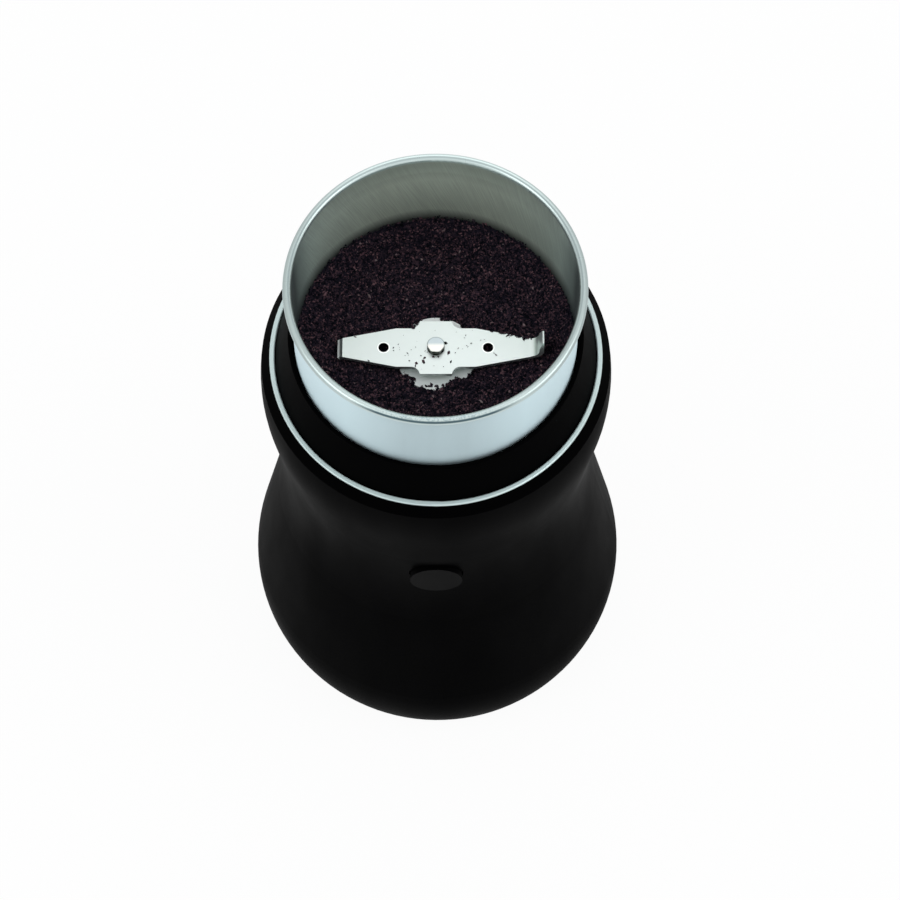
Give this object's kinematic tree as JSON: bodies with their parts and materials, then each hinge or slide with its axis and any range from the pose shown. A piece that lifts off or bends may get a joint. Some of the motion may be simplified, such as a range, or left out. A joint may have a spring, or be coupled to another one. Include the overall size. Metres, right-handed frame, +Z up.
{
  "type": "electric spice grinder",
  "caption": "Black electric spice grinder with a waisted casing, a lift-out steel cup, a two-armed blade, a motor, a front button and a lid interlock.",
  "frame": {"origin": "on the table, under the middle of the grinder", "axes": "+Z up along the motor and blade axis, -Y the front with the button, +Y the back with the cord inlet"},
  "size_m": [0.105, 0.1048, 0.1773],
  "materials": {
    "black_shell": "fine satin grain",
    "black_collar": "satin moulded plastic",
    "black_plastic": "moulded plastic",
    "button_plastic": "satin moulded plastic",
    "grey_plastic": "glass-filled nylon",
    "fan_plastic": "moulded plastic",
    "switch_plastic": "moulded phenolic",
    "pale_plastic": "moulded nylon",
    "pale_sleeve": "woven glass sleeve",
    "capacitor_case": "moulded case",
    "coupling_nylon": "natural nylon",
    "black_rubber": "moulded rubber",
    "ring_metal": "satin metal",
    "cup_steel": "brushed inside, polished outside",
    "blade_steel": "matt stamped steel",
    "bright_steel": "ground steel",
    "bracket_steel": "zinc plated pressing",
    "spring_steel": "drawn wire",
    "zinc_steel": "zinc plated",
    "lamination": "varnished laminations",
    "copper_wire": "enamelled copper wire",
    "copper_bar": "turned copper",
    "bronze": "sintered bronze",
    "brass_sheet": "folded brass",
    "carbon": "pressed carbon",
    "ground_spice": "coarse dark grounds"
  },
  "bodies": {
    "housing": {"base_cover": "black_plastic", "rubber_feet": "black_rubber", "base_screws": "zinc_steel", "housing_shell": "black_shell", "trim_ring": "ring_metal", "top_collar": "black_collar", "collar_screws": "zinc_steel", "motor_deck": "grey_plastic", "deck_screws": "zinc_steel", "motor_dampers": "black_rubber", "motor_screws": "zinc_steel", "top_bracket": "bracket_steel", "bottom_bracket": "bracket_steel", "top_bearing": "bronze", "bottom_bearing": "bronze", "stator_core": "lamination", "field_coils": "copper_wire", "brush_holders": "brass_sheet", "carbon_brushes": "carbon", "brush_springs": "spring_steel", "thermal_fuse": "pale_sleeve", "button_spring": "spring_steel", "power_switch": "switch_plastic", "interlock_spring": "spring_steel", "interlock_switch": "switch_plastic", "terminal_block": "pale_plastic", "suppressor_capacitor": "capacitor_case", "cord_bush": "black_rubber"},
    "rotor": {"motor_shaft": "bright_steel", "armature_core": "lamination", "armature_windings": "copper_wire", "commutator": "copper_bar", "cooling_fan": "fan_plastic", "thrust_washers": "bright_steel", "drive_coupling": "coupling_nylon"},
    "cup": {"grinding_cup": "cup_steel", "cup_carrier": "black_plastic", "carrier_screws": "zinc_steel", "spindle_bush": "bronze", "shaft_seal": "black_rubber", "ground_spice": "ground_spice"},
    "blade": {"spindle": "bright_steel", "spindle_washers": "bright_steel", "driven_coupling": "coupling_nylon", "grinding_blade": "blade_steel"},
    "button": {"power_button": "button_plastic"},
    "interlock": {"interlock_rod": "button_plastic"}
  },
  "joints": [
    {"name": "cup_lift", "type": "slide", "parent": "housing", "child": "cup", "axis": [0, 0, 1], "range_m": [0, 0.06]},
    {"name": "motor_spin", "type": "hinge", "parent": "housing", "child": "rotor", "pos_m": [0, 0, 0.065], "axis": [0, 0, 1], "continuous": true},
    {"name": "blade_spin", "type": "hinge", "parent": "cup", "child": "blade", "pos_m": [0, 0, 0.13], "axis": [0, 0, 1], "continuous": true},
    {"name": "button_press", "type": "slide", "parent": "housing", "child": "button", "axis": [0, 1, 0], "range_m": [0, 0.0025], "stiffness_N_per_m": 800, "springref_m": -0.0015, "deforming": ["button_spring"]},
    {"name": "interlock_press", "type": "slide", "parent": "housing", "child": "interlock", "axis": [0, 0, -1], "range_m": [0, 0.003], "stiffness_N_per_m": 600, "springref_m": -0.002, "deforming": ["interlock_spring"]}
  ],
  "couplings": [
    {"joint": "blade_spin", "follows": "motor_spin", "ratio": 1}
  ]
}
